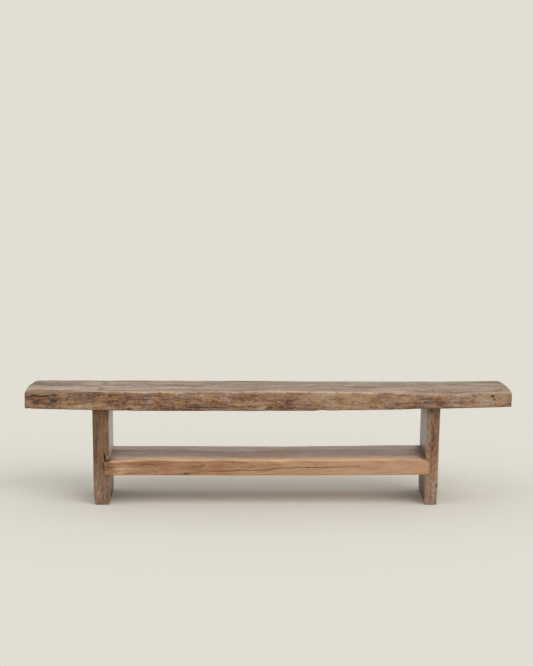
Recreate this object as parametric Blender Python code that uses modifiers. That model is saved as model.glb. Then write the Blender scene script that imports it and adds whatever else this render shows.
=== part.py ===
"""Slab bench: a thick seat on two plank legs, tied together by one lower shelf.

Each leg stands in the seat on two through tenons, and a wedge driven into the top of
each tenon spreads it along the grain of the slab. The ends of the shelf sit in housings
cut across the inner faces of the legs, and two pegs through each leg hold them there.

Units are metres. +X runs along the bench, +Y to its back and +Z up, and the origin is on
the floor under the middle of the seat.
"""

import math
from collections import namedtuple

import bmesh
import bpy

# Seat slab
SEAT_LENGTH = 1.905
SEAT_DEPTH = 0.285
SEAT_HEIGHT = 0.450
SEAT_THICKNESS = 0.073
SEAT_LEVEL_LEFT = 0.520    # the underside is level this far left of the middle
SEAT_LEVEL_RIGHT = 0.250   # and this far right of it, and then the slab thins
SEAT_RISE_LEFT = 0.009     # how much thinner the slab is at its left end
SEAT_RISE_RIGHT = 0.015    # and at its right end
SEAT_SETBACK = 0.020       # how far the worn back corners stand in from the ends
SEAT_ARRIS = 0.005

# Plank legs
LEG_INSET = 0.005          # from the long edges of the seat to the edges of the legs
LEG_DEPTH = SEAT_DEPTH - 2 * LEG_INSET
LEG_ARRIS = 0.004
LEFT_LEG_THICKNESS = 0.063
LEFT_LEG_OVERHANG = 0.264  # from the end of the seat to the leg's outer face
LEFT_LEG_LEAN = 0.001      # how far the foot stands in from the shoulder
LEFT_LEG_TAPER = 0.007     # how much thinner the plank is at its back edge
RIGHT_LEG_THICKNESS = 0.051
RIGHT_LEG_OVERHANG = 0.278
RIGHT_LEG_LEAN = 0.008
RIGHT_LEG_TAPER = 0.001

# Lower shelf, with its ends in housings in the legs
SHELF_HEIGHT = 0.120       # from the floor to the underside
SHELF_THICKNESS = 0.058
SHELF_PROUD = 0.003        # how far its long edges stand out of the legs
SHELF_DEPTH = LEG_DEPTH + 2 * SHELF_PROUD
SHELF_TOP_ARRIS = 0.010
SHELF_LOW_ARRIS = 0.004
HOUSING_DEPTH = 0.019

# Twin tenons and their wedges
TENON_THICKNESS = 0.030
TENON_WIDTH = 0.070
TENON_INSET = 0.032        # from the edge of the leg to the tenon
TENON_ROOT = 0.012         # how far a tenon runs down inside its leg
WEDGE_HEAD = 0.007
WEDGE_TIP = 0.002
WEDGE_LENGTH = 0.045

# Shelf pegs
PEG_RADIUS = 0.008
PEG_INSET = 0.065          # from the edge of the leg to the peg's axis
PEG_GRIP = 0.045           # how deep a peg reaches into the shelf
PEG_PROUD = 0.0015         # how far its head stands out of the leg
PEG_CHAMFER = 0.001
PEG_SIDES = 16

# Fits: the gap between pieces, and how far a cutter runs past what it cuts
CLEARANCE = 0.0003
CUT_OVERRUN = 0.010
KERF_OVERRUN = 0.001

# Sections in a rounded edge, and cuts along the curve of the seat's ends
ARRIS_SEGMENTS = 2
SHELF_ARRIS_SEGMENTS = 3
END_CURVE_CUTS = 4
SHARP_ANGLE = math.radians(30.0)   # an edge that turns by more than this is rounded
ALONG = 0.5                        # least share of an edge's length that lies along an axis

# Finishes: linear colour of the weathered wood, and its roughness
SEAT_COLOUR = (0.30, 0.215, 0.155, 1.0)
LEFT_LEG_COLOUR = (0.205, 0.130, 0.083, 1.0)
RIGHT_LEG_COLOUR = (0.250, 0.158, 0.100, 1.0)
SHELF_COLOUR = (0.365, 0.210, 0.118, 1.0)
WEDGE_COLOUR = (0.155, 0.092, 0.050, 1.0)
PEG_COLOUR = (0.185, 0.108, 0.060, 1.0)
WOOD_ROUGHNESS = 0.70

Leg = namedtuple("Leg", "name side thickness overhang lean taper colour")
LEGS = (
    Leg("left", -1, LEFT_LEG_THICKNESS, LEFT_LEG_OVERHANG, LEFT_LEG_LEAN, LEFT_LEG_TAPER,
        LEFT_LEG_COLOUR),
    Leg("right", 1, RIGHT_LEG_THICKNESS, RIGHT_LEG_OVERHANG, RIGHT_LEG_LEAN,
        RIGHT_LEG_TAPER, RIGHT_LEG_COLOUR),
)
ROWS = (("front", -1), ("rear", 1))


def underside(x):
    """Return the height of the seat's underside at this place along the bench."""
    half = SEAT_LENGTH / 2
    left = min(max((-x - SEAT_LEVEL_LEFT) / (half - SEAT_LEVEL_LEFT), 0.0), 1.0)
    right = min(max((x - SEAT_LEVEL_RIGHT) / (half - SEAT_LEVEL_RIGHT), 0.0), 1.0)
    return SEAT_HEIGHT - SEAT_THICKNESS + SEAT_RISE_LEFT * left + SEAT_RISE_RIGHT * right


def leg_centre(leg):
    """Return where the middle of the leg's shoulder is along the bench."""
    return leg.side * (SEAT_LENGTH / 2 - leg.overhang - leg.thickness / 2)


def lean_at(leg, z):
    """Return how far along the bench the leg has moved at this height."""
    shoulder = underside(leg_centre(leg))
    return -leg.side * leg.lean * (1.0 - z / shoulder)


def housing_floor(leg):
    """Return where the bottom of the leg's housing is along the bench."""
    shelf_middle = SHELF_HEIGHT + SHELF_THICKNESS / 2
    inner_face = leg_centre(leg) - leg.side * leg.thickness / 2 + lean_at(leg, shelf_middle)
    return inner_face + leg.side * HOUSING_DEPTH


def tenon_place(row_side):
    """Return where the middle of a tenon is across the bench."""
    return row_side * (LEG_DEPTH / 2 - TENON_INSET - TENON_WIDTH / 2)


def peg_place(row_side):
    """Return where the axis of a peg is across the bench."""
    return row_side * (LEG_DEPTH / 2 - PEG_INSET)


def wood(name, colour):
    """Return a matt wood material of this colour."""
    material = bpy.data.materials.new(name)
    material.use_nodes = True
    shader = material.node_tree.nodes["Principled BSDF"]
    shader.inputs["Base Color"].default_value = colour
    shader.inputs["Roughness"].default_value = WOOD_ROUGHNESS
    shader.inputs["Metallic"].default_value = 0.0
    return material


def box(size, low=(-0.5, -0.5, -0.5)):
    """Return a box of this size, with its low corner at this many sizes from the origin."""
    shape = bmesh.new()
    bmesh.ops.create_cube(shape, size=1.0)
    move = [0.5 + share for share in low]
    bmesh.ops.translate(shape, vec=move, verts=shape.verts)
    bmesh.ops.scale(shape, vec=size, verts=shape.verts)
    return shape


def cut_across(shape, axis, place):
    """Add a line of edges round the shape, in the plane at this place on an axis."""
    point = [0.0, 0.0, 0.0]
    normal = [0.0, 0.0, 0.0]
    point[axis] = place
    normal[axis] = 1.0
    everything = list(shape.verts) + list(shape.edges) + list(shape.faces)
    bmesh.ops.bisect_plane(shape, geom=everything, plane_co=point, plane_no=normal)


def round_edges(shape, chosen, radius, segments):
    """Round the edges for which chosen(middle, direction) is true."""
    edges = []
    for edge in shape.edges:
        first, second = (vert.co for vert in edge.verts)
        if chosen((first + second) / 2, (second - first).normalized()):
            edges.append(edge)
    bmesh.ops.bevel(shape, geom=edges, offset=radius, segments=segments, profile=0.5,
                    affect='EDGES', clamp_overlap=True)


def add_object(name, shape, collection, location, parent):
    """Turn the shape into a named object at this location."""
    mesh = bpy.data.meshes.new(name)
    shape.to_mesh(mesh)
    shape.free()
    piece = bpy.data.objects.new(name, mesh)
    collection.objects.link(piece)
    piece.parent = parent
    piece.location = location
    return piece


class Bench:
    """The collections that the pieces and cutters go into, and the empty that holds them."""

    def __init__(self):
        self.pieces = bpy.data.collections.new("slab_bench")
        self.cutters = bpy.data.collections.new("slab_bench_cutters")
        for collection in (self.pieces, self.cutters):
            bpy.context.scene.collection.children.link(collection)
        self.base = bpy.data.objects.new("bench_base", None)
        self.pieces.objects.link(self.base)

    def piece(self, name, shape, location, colour):
        """Add a finished piece of the bench, in wood of this colour."""
        made = add_object(name, shape, self.pieces, location, self.base)
        made.data.materials.append(wood(name + "_wood", colour))
        return made

    def work(self, piece, operation, name, shape, location):
        """Cut the piece with a hidden shape, or join that shape to it."""
        tool = add_object(name, shape, self.cutters, location, self.base)
        tool.hide_render = True
        tool.display_type = 'WIRE'
        modifier = piece.modifiers.new(name, 'BOOLEAN')
        modifier.operation = operation
        modifier.solver = 'EXACT'
        modifier.object = tool


def tapered(head, tip, width, length):
    """Return a wedge that hangs below the origin, thick at its head and thin at its tip."""
    shape = box((head, width, length), low=(-0.5, -0.5, -1.0))
    for vert in shape.verts:
        if vert.co.z < -length / 2:
            vert.co.x *= tip / head
    return shape


def rod(radius, length):
    """Return a round rod along X, whose middle is at the origin."""
    shape = bmesh.new()
    bmesh.ops.create_cone(shape, cap_ends=True, segments=PEG_SIDES, radius1=radius,
                          radius2=radius, depth=length)
    for vert in shape.verts:
        vert.co = (vert.co.z, vert.co.y, -vert.co.x)
    for face in shape.faces:
        face.smooth = len(face.verts) == 4
    return shape


def make_seat(bench):
    """Make the seat slab, with a mortise for each tenon."""
    shape = box((SEAT_LENGTH, SEAT_DEPTH, SEAT_THICKNESS), low=(-0.5, -0.5, -1.0))
    cut_across(shape, 0, -SEAT_LEVEL_LEFT)
    cut_across(shape, 0, SEAT_LEVEL_RIGHT)
    for step in range(END_CURVE_CUTS):
        cut_across(shape, 1, SEAT_DEPTH / 2 * step / END_CURVE_CUTS)
    end = SEAT_LENGTH / 2
    for vert in shape.verts:
        if vert.co.z < -SEAT_THICKNESS / 2:
            vert.co.z = underside(vert.co.x) - SEAT_HEIGHT
        if abs(vert.co.x) > end - CLEARANCE:
            share = max(vert.co.y / (SEAT_DEPTH / 2), 0.0)
            vert.co.x -= math.copysign(SEAT_SETBACK * share ** 2, vert.co.x)
    seat = bench.piece("seat_slab", shape, (0.0, 0.0, SEAT_HEIGHT), SEAT_COLOUR)
    arris = seat.modifiers.new("arris", 'BEVEL')
    arris.width = SEAT_ARRIS
    arris.segments = ARRIS_SEGMENTS
    arris.limit_method = 'ANGLE'
    arris.angle_limit = SHARP_ANGLE
    mortise = (TENON_THICKNESS + 2 * CLEARANCE, TENON_WIDTH + 2 * CLEARANCE,
               SEAT_THICKNESS + 2 * CUT_OVERRUN)
    for leg in LEGS:
        for row, row_side in ROWS:
            place = (leg_centre(leg), tenon_place(row_side), SEAT_HEIGHT - SEAT_THICKNESS / 2)
            bench.work(seat, 'DIFFERENCE', f"{leg.name}_{row}_mortise", box(mortise), place)


def leg_plank(leg):
    """Return the plank of a leg up to its shoulder, round the middle of that shoulder."""
    centre = leg_centre(leg)
    height = underside(centre)
    shape = box((leg.thickness, LEG_DEPTH, height), low=(-0.5, -0.5, 0.0))

    def outer_edge(middle, direction):
        return abs(direction.z) > ALONG or middle.z < height / 2

    round_edges(shape, outer_edge, LEG_ARRIS, ARRIS_SEGMENTS)
    for vert in shape.verts:
        if vert.co.x * leg.side < 0.0:
            vert.co.x += leg.side * leg.taper * (vert.co.y / LEG_DEPTH + 0.5)
        at_shoulder = vert.co.z > height / 2
        vert.co.x += lean_at(leg, vert.co.z)
        if at_shoulder:
            vert.co.z = underside(centre + vert.co.x) - CLEARANCE
    return shape


def make_leg(bench, leg):
    """Make a leg with its two tenons, their kerfs, the shelf's housing and the peg holes."""
    centre = leg_centre(leg)
    name = leg.name + "_leg"
    piece = bench.piece(name, leg_plank(leg), (centre, 0.0, 0.0), leg.colour)
    tenon_length = SEAT_HEIGHT - underside(centre) + TENON_ROOT
    for row, row_side in ROWS:
        tenon = box((TENON_THICKNESS, TENON_WIDTH, tenon_length), low=(-0.5, -0.5, -1.0))
        bench.work(piece, 'UNION', f"{leg.name}_{row}_tenon", tenon,
                   (centre, tenon_place(row_side), SEAT_HEIGHT))
    for row, row_side in ROWS:
        slope = (WEDGE_HEAD - WEDGE_TIP) / WEDGE_LENGTH
        kerf_head = WEDGE_HEAD + 2 * CLEARANCE + slope * CUT_OVERRUN
        kerf_tip = WEDGE_TIP + 2 * CLEARANCE - slope * CLEARANCE
        kerf = tapered(kerf_head, kerf_tip, TENON_WIDTH + 2 * KERF_OVERRUN,
                       WEDGE_LENGTH + CLEARANCE + CUT_OVERRUN)
        bench.work(piece, 'DIFFERENCE', f"{leg.name}_{row}_kerf", kerf,
                   (centre, tenon_place(row_side), SEAT_HEIGHT + CUT_OVERRUN))
    housing_length = HOUSING_DEPTH + CLEARANCE + leg.thickness
    housing = box((housing_length, LEG_DEPTH + 2 * CUT_OVERRUN, SHELF_THICKNESS + 2 * CLEARANCE))
    housing_end = housing_floor(leg) + leg.side * CLEARANCE
    bench.work(piece, 'DIFFERENCE', leg.name + "_housing", housing,
               (housing_end - leg.side * housing_length / 2, 0.0,
                SHELF_HEIGHT + SHELF_THICKNESS / 2))
    for row, row_side in ROWS:
        hole = rod(PEG_RADIUS + CLEARANCE, 2 * leg.thickness + 2 * CUT_OVERRUN)
        bench.work(piece, 'DIFFERENCE', f"{leg.name}_{row}_leg_hole", hole,
                   (centre, peg_place(row_side), SHELF_HEIGHT + SHELF_THICKNESS / 2))


def make_shelf(bench):
    """Make the shelf between the two housings, with a hole for each peg."""
    left, right = (housing_floor(leg) for leg in LEGS)
    length = right - left
    shape = box((length, SHELF_DEPTH, SHELF_THICKNESS))

    def top_edge(middle, direction):
        return abs(direction.x) > ALONG and middle.z > SHELF_THICKNESS / 4

    def low_edge(middle, direction):
        on_side = abs(middle.y) > SHELF_DEPTH / 2 - CLEARANCE
        return abs(direction.x) > ALONG and on_side and middle.z < -SHELF_THICKNESS / 4

    round_edges(shape, top_edge, SHELF_TOP_ARRIS, SHELF_ARRIS_SEGMENTS)
    round_edges(shape, low_edge, SHELF_LOW_ARRIS, ARRIS_SEGMENTS)
    middle_height = SHELF_HEIGHT + SHELF_THICKNESS / 2
    shelf = bench.piece("lower_shelf", shape, ((left + right) / 2, 0.0, middle_height),
                        SHELF_COLOUR)
    hole_depth = PEG_GRIP + CLEARANCE
    for leg in LEGS:
        for row, row_side in ROWS:
            hole = rod(PEG_RADIUS + CLEARANCE, hole_depth + CUT_OVERRUN)
            middle = housing_floor(leg) - leg.side * (hole_depth - CUT_OVERRUN) / 2
            bench.work(shelf, 'DIFFERENCE', f"{leg.name}_{row}_shelf_hole", hole,
                       (middle, peg_place(row_side), middle_height))


def make_wedges(bench):
    """Make the wedge in the top of each tenon."""
    for leg in LEGS:
        for row, row_side in ROWS:
            shape = tapered(WEDGE_HEAD, WEDGE_TIP, TENON_WIDTH, WEDGE_LENGTH)
            bench.piece(f"{leg.name}_{row}_wedge", shape,
                        (leg_centre(leg), tenon_place(row_side), SEAT_HEIGHT), WEDGE_COLOUR)


def make_pegs(bench):
    """Make the pegs that run through each leg into the end of the shelf."""
    middle_height = SHELF_HEIGHT + SHELF_THICKNESS / 2
    for leg in LEGS:
        outer_face = leg_centre(leg) + leg.side * leg.thickness / 2 + lean_at(leg, middle_height)
        head = outer_face + leg.side * PEG_PROUD
        tip = housing_floor(leg) - leg.side * PEG_GRIP
        for row, row_side in ROWS:
            peg = bench.piece(f"{leg.name}_{row}_peg", rod(PEG_RADIUS, abs(head - tip)),
                              ((head + tip) / 2, peg_place(row_side), middle_height), PEG_COLOUR)
            chamfer = peg.modifiers.new("chamfer", 'BEVEL')
            chamfer.width = PEG_CHAMFER
            chamfer.segments = 1
            chamfer.limit_method = 'ANGLE'
            chamfer.angle_limit = SHARP_ANGLE


def main():
    for old in list(bpy.data.objects):
        bpy.data.objects.remove(old)
    bench = Bench()
    make_seat(bench)
    for leg in LEGS:
        make_leg(bench, leg)
    make_shelf(bench)
    make_wedges(bench)
    make_pegs(bench)


main()
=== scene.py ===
# %% [markdown]
# # A slab bench in old timber
# The bench is a thick plank on two upright planks, with a third plank between them as a shelf.
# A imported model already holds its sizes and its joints. This lesson gives each plank the surface
# that the real one has: worn edges, drying cracks, nail holes, knots and weathered grain.

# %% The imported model
import math
from dataclasses import dataclass, replace
from types import SimpleNamespace

import bpy
import numpy as np
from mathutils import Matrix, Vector, noise


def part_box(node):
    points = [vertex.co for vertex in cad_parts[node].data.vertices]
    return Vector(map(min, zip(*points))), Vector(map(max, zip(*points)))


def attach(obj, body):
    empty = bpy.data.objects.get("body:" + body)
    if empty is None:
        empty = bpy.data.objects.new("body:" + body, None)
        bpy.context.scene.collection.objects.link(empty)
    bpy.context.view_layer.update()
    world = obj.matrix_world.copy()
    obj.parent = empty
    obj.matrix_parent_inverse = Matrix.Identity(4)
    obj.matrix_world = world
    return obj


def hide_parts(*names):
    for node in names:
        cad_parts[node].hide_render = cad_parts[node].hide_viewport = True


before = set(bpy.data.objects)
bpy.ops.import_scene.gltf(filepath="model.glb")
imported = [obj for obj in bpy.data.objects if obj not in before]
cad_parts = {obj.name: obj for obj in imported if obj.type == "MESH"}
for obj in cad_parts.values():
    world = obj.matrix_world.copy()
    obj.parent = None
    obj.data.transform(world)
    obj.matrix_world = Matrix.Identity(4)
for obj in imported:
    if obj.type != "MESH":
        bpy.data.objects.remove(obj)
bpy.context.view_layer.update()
BODY = "root"

# %% [markdown]
# ## The camera
# The bench was photographed from the front with a long lens, a little above the seat, so its
# top and shelf show as thin bands. A long lens far away keeps the legs nearly parallel. The
# place and tilt follow from where the seat, the shelf and the feet lie in the picture.

# %% Camera
CAMERA_LENS = 90.0
SENSOR_WIDTH = 36.0
CAMERA_PLACE = (-0.0062, -6.551, 1.565)
CAMERA_TILT = math.radians(7.817)


def added(operator, **settings):
    """Add an object by an operator, with nothing else selected, and return it."""
    bpy.ops.object.select_all(action='DESELECT')
    operator(**settings)
    return bpy.context.object


camera = added(bpy.ops.object.camera_add, location=CAMERA_PLACE,
               rotation=(math.pi / 2 - CAMERA_TILT, 0.0, 0.0))
camera.data.lens = CAMERA_LENS
camera.data.sensor_width = SENSOR_WIDTH
bpy.context.scene.camera = camera
print("camera at", CAMERA_PLACE)

# %% [markdown]
# ## Sums inside a material
# A wood grain is a long sum over places on the plank. Node by node it would be hard to read, so
# one small class wraps a socket and lets Python's own operators add the Math nodes, and one
# method adds every other kind of node.


# %% Sums inside a material
class Flow:
    """A number, colour or shader on its way through a finish."""

    def __init__(self, finish, socket):
        self.finish = finish
        self.socket = socket

    def maths(self, operation, *others):
        """Add a Math node that takes this flow first."""
        return self.finish.node("Math", {"operation": operation}, dict(enumerate((self, *others))))

    def __add__(self, other):
        return self.maths('ADD', other)

    def __sub__(self, other):
        return self.maths('SUBTRACT', other)

    def __rsub__(self, other):
        return self.finish.node("Math", {"operation": 'SUBTRACT'}, {0: other, 1: self})

    def __mul__(self, other):
        return self.maths('MULTIPLY', other)

    def __pow__(self, other):
        return self.maths('POWER', other)

    __radd__ = __add__
    __rmul__ = __mul__


class Finish:
    """A material or sky whose nodes are added by sums and by the node method."""

    def __init__(self, owner, shader="Principled BSDF"):
        owner.use_nodes = True
        self.owner = owner
        self.tree = owner.node_tree
        self.shader = self.tree.nodes[shader]

    def node(self, kind, settings=None, sockets=None, output=0):
        """Add a node: its settings first, then the values or flows of its sockets."""
        made = self.tree.nodes.new("ShaderNode" + kind)
        for key, value in (settings or {}).items():
            if key == "stops":
                set_stops(made.color_ramp, value)
            else:
                setattr(made, key, value)
        self.feed(made, sockets or {})
        return Flow(self, made.outputs[output])

    def feed(self, node, sockets):
        """Give a node's sockets fixed values, or link flows to them. Fixed colours are opaque."""
        for key, value in sockets.items():
            socket = node.inputs[key]
            if isinstance(value, Flow):
                self.tree.links.new(value.socket, socket)
            elif socket.type == 'RGBA':
                socket.default_value = (*value, 1.0)
            else:
                socket.default_value = value

    def mix(self, first, second, share):
        """Blend two colours."""
        settings = {"data_type": 'RGBA', "clamp_factor": True}
        return self.node("Mix", settings, {0: share, 6: first, 7: second}, 2)

    def step(self, value, low, high, start=0.0, end=1.0):
        """Go smoothly from start at low to end at high."""
        sockets = {"Value": value, "From Min": low, "From Max": high, "To Min": start, "To Max": end}
        return self.node("MapRange", {"interpolation_type": 'SMOOTHSTEP'}, sockets)

    def fall(self, value, low, high):
        """Fall smoothly from 1 at low to 0 at high."""
        return self.step(value, low, high, 1.0, 0.0)

    def vectors(self, operation, sockets, output=0):
        """Add a node that works on vectors."""
        return self.node("VectorMath", {"operation": operation}, sockets, output)

    def vector(self, *parts):
        """Put three numbers together."""
        return self.node("CombineXYZ", None, dict(enumerate(parts)))

    def split(self, vector):
        """Take a vector apart."""
        parts = self.node("SeparateXYZ", None, {0: vector})
        return [Flow(self, output) for output in parts.socket.node.outputs]

    def cloud(self, place, detail, roughness, output="Fac"):
        """Cloudy noise over a place that is already scaled."""
        sockets = {"Vector": place, "Scale": 1.0, "Detail": detail, "Roughness": roughness}
        return self.node("TexNoise", {"noise_dimensions": '3D'}, sockets, output)

    def attribute(self, name):
        """Read a number that was written on the points of the mesh."""
        return self.node("Attribute", {"attribute_name": name}, None, "Fac")


def set_stops(ramp, stops):
    """Give a colour ramp these places and colours."""
    while len(ramp.elements) < len(stops):
        ramp.elements.new(0.5)
    for element, (place, colour) in zip(ramp.elements, stops):
        element.position = place
        element.color = (*colour, 1.0)


print("sums inside a material are ready")

# %% [markdown]
# ## Floor and light
# The bench stands on a plain pale floor in soft light from all round. A wide sun from the right
# gives the planks a little shape without a hard shadow, and a plain sky does the rest. Sun and
# sky don't fall off with distance, so the floor keeps one tone up to the horizon, and the sky
# that the camera sees has that same tone.

# %% Floor and light
PALE = (0.76, 0.73, 0.655)
WHITE = (1.0, 1.0, 1.0)
FLOOR_COLOUR = (0.80, 0.77, 0.69)
FLOOR_SIZE = 160.0
SKY_STRENGTH = 0.66
# Each sun's turn in degrees, its strength, and how wide it is in degrees.
SUNS = {"key_sun": ((54.0, 0.0, 42.0), 1.15, 50.0), "fill_sun": ((58.0, 0.0, -40.0), 0.45, 80.0)}

floor = added(bpy.ops.mesh.primitive_plane_add, size=FLOOR_SIZE)
floor.name = "floor"
floor_finish = Finish(bpy.data.materials.new("pale_floor"))
floor_finish.feed(floor_finish.shader,
                  {"Base Color": FLOOR_COLOUR, "Roughness": 1.0, "Specular IOR Level": 0.0})
floor.data.materials.append(floor_finish.owner)

for name, (turn, strength, spread) in SUNS.items():
    lamp = added(bpy.ops.object.light_add, type='SUN', rotation=[math.radians(angle) for angle in turn])
    lamp.name = name
    lamp.data.energy = strength
    lamp.data.angle = math.radians(spread)

# Rays that show the sky meet its pale tone, and all others its light.
sky = Finish(bpy.data.worlds.new("studio_sky"), "Background")
sky.feed(sky.shader, {"Color": WHITE, "Strength": SKY_STRENGTH})
shown = sky.node("Background", None, {"Color": PALE})
seen = sky.node("LightPath", None, None, "Is Camera Ray")
for ray in ("Is Glossy Ray", "Is Transmission Ray"):
    seen = seen.maths('MAXIMUM', sky.node("LightPath", None, None, ray))
both = sky.node("MixShader", None, {0: seen, 1: Flow(sky, sky.shader.outputs[0]), 2: shown})
sky.feed(sky.tree.nodes["World Output"], {"Surface": both})
bpy.context.scene.world = sky.owner
bpy.context.scene.view_settings.view_transform = 'Standard'
print("floor, sky and", len(SUNS), "suns")

# %% [markdown]
# ## How a plank grew
# Wood is not a picture glued to a plank: its grain runs through it. So the finish is worked out
# in the round. Growth rings are distances from the heart of the tree, which lies somewhere off
# the plank, and fibres are noise that is drawn out along the grain. Side faces then show long
# streaks and arches, and end faces show curved rings, from the same sums. A knot is where a
# branch grew through: it pushes the grain aside and has small rings of its own.

# %% How a plank grew
# The axis along the grain, then the two across it.
ACROSS = {0: (0, 1, 2), 2: (2, 0, 1)}
KNOT_REACH = 3.2
KNOT_SWELL = 0.60
KNOT_STRETCH = 0.6
KNOT_RINGS = 21.0
RING_WANDER = 0.030


@dataclass
class Timber:
    """The wood of one plank: how it grew, how it aged, and painted light. Shades run from dark to pale."""
    grain: int
    heart: tuple
    slant: tuple
    ring: float
    ring_share: float
    contrast: float
    shades: tuple
    grey: tuple
    worn: tuple
    end: tuple
    bleach: tuple = (0.36, 0.295, 0.245)
    dirt: tuple = (0.046, 0.033, 0.028)
    knot: tuple = (0.175, 0.090, 0.047)
    cloudy: float = 1.0
    tinting: float = 0.9
    richness: float = 0.95
    # Grey on faces that look up: weathering, and painted sheen.
    weathering_and_sheen: float = 0.4
    grey_grain: float = 0.9
    level: float = 0.56
    # How the tone changes along the grain: on seat and shelf painted light, paler to the right; on the legs,
    # darker towards the top.
    drift: float = 0.0
    roughness: float = 0.43


def round_knots(finish, place, knots, grain):
    """Swell the grain round each knot. Also return the gap to the nearest knot, in its radii."""
    stretch = [KNOT_STRETCH if axis == grain else 1.0 for axis in range(3)]
    nearest = None
    for spot, size, _ in knots:
        offset = finish.vectors('SUBTRACT', {0: place, 1: spot})
        shape = finish.vectors('MULTIPLY', {0: offset, 1: stretch})
        share = finish.vectors('LENGTH', {0: shape}, "Value") * (1.0 / size)
        nearest = share if nearest is None else nearest.maths('MINIMUM', share)
        near = finish.fall(share, 0.0, KNOT_REACH) * -KNOT_SWELL
        push = finish.vectors('SCALE', {0: offset, "Scale": near})
        place = finish.vectors('ADD', {0: place, 1: push})
    return place, nearest


def ring_lines(finish, timber, run, side, height):
    """Return the dark late wood of each growth ring."""
    drift = finish.cloud(finish.vector(run * 1.6, side * 4.0, height * 4.0), 2.0, 0.5, "Color")
    drift_side, drift_up, _ = finish.split(drift)
    across = side + run * timber.slant[0] + (drift_side - 0.5) * RING_WANDER - timber.heart[0]
    up = height + run * timber.slant[1] + (drift_up - 0.5) * RING_WANDER - timber.heart[1]
    radius = (across * across + up * up) ** 0.5
    uneven = finish.node("TexNoise", {"noise_dimensions": '1D'},
                         {"W": radius * (0.45 / timber.ring), "Scale": 1.0, "Detail": 2.0})
    turn = (radius * (1.0 / timber.ring) + uneven * 1.8).maths('FRACT')
    return turn ** 2.4 * finish.fall(turn, 0.86, 1.0)


def colour_knots(finish, wood, nearest, ragged, timber):
    """Give each knot small rings of its own, a dark heart and a ragged seam round it."""
    gap = nearest + ragged * 0.30
    rings = (gap * KNOT_RINGS).maths('SINE') * 0.30 + 0.70 - finish.fall(gap, 0.05, 0.45) * 0.5
    heart = finish.mix(timber.dirt, timber.knot, rings)
    wood = finish.mix(wood, heart, finish.fall(gap, 0.75, 1.10) * 0.8)
    seam = finish.fall((gap - 0.95).maths('ABSOLUTE'), 0.02, 0.22)
    return finish.mix(wood, timber.dirt, seam * 0.6)


print("growth rings and knots are ready")

# %% [markdown]
# ## The grain of a plank
# Every shade of the wood follows the same grain, so it is read once. Noises of many sizes, all
# drawn out along the grain, are added up with the rings to one swing between pale and dark.

# %% The grain of a plank
# Features to the metre along and across the grain, detail and roughness of each noise.
NOISES = {
    "patch": (1.8, 7.0, 2.0, 0.5), "streak": (5.5, 30.0, 4.0, 0.6), "blotch": (11.0, 22.0, 3.0, 0.6),
    "tint": (21.0, 33.0, 3.0, 0.6), "mottle": (15.0, 62.0, 4.0, 0.68), "fibre": (6.0, 180.0, 3.0, 0.6),
    "grit": (76.0, 165.0, 3.0, 0.65), "hair": (16.0, 620.0, 2.0, 0.6), "speck": (9.0, 300.0, 2.0, 0.6),
}


def read_grain(finish, timber, place):
    """Return the noises round 0, the rings, which faces look up or show end grain, and the swing."""
    parts = finish.split(place)
    run, side, height = (parts[axis] for axis in ACROSS[timber.grain])
    grain = SimpleNamespace(run=run, late=ring_lines(finish, timber, run, side, height))
    for name, (along, across, detail, roughness) in NOISES.items():
        scaled = finish.vector(run * along, side * across, height * across)
        setattr(grain, name, finish.cloud(scaled, detail, roughness) - 0.5)
    grain.ragged = grain.mottle * 3.0 + grain.grit * 3.0
    facing = finish.split(finish.node("NewGeometry", None, None, "Normal"))
    grain.upward = finish.step(facing[2], 0.35, 0.85)
    grain.end = finish.step(facing[timber.grain].maths('ABSOLUTE'), 0.75, 0.95)
    swing = grain.patch * 0.8 + grain.streak * 1.1 + grain.fibre * 0.9 + grain.hair * 0.8
    swing += (grain.blotch + grain.mottle * 0.9 + grain.grit * 1.7) * timber.cloudy
    grain.swing = swing * timber.contrast - grain.late * (grain.end * 0.3 + timber.ring_share)
    return grain


print(len(NOISES), "noises in the grain")

# %% [markdown]
# ## How it has aged
# Numbers on the points of the mesh say how each place has aged, and where light and shade are
# painted: worn where it was rubbed pale, bleached where sun and damp have greyed it and, on the
# legs' inner faces, where sheen is painted, grime where dirt gathers and where shade is painted
# under the seat, in corners and along edges, stain where iron and dirt have worked in, hewn where it
# was cut later, and painted shade deep in a crack. The finish breaks most of them up with noise, so
# that no edge of a mark is smooth. Faces that look up are greyer, partly because dust and sun lie
# there and partly as painted sheen. The grain shows through every shade: each is made paler and
# darker by it.

# %% How it has aged
AGES = ("worn", "grime", "hollow", "stain", "bleached", "hewn")
SHADE_PLACES = (0.08, 0.30, 0.50, 0.72, 0.92)
TIMBER_SHEEN = 0.28
RELIEF_DEPTH = 0.0008


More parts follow.
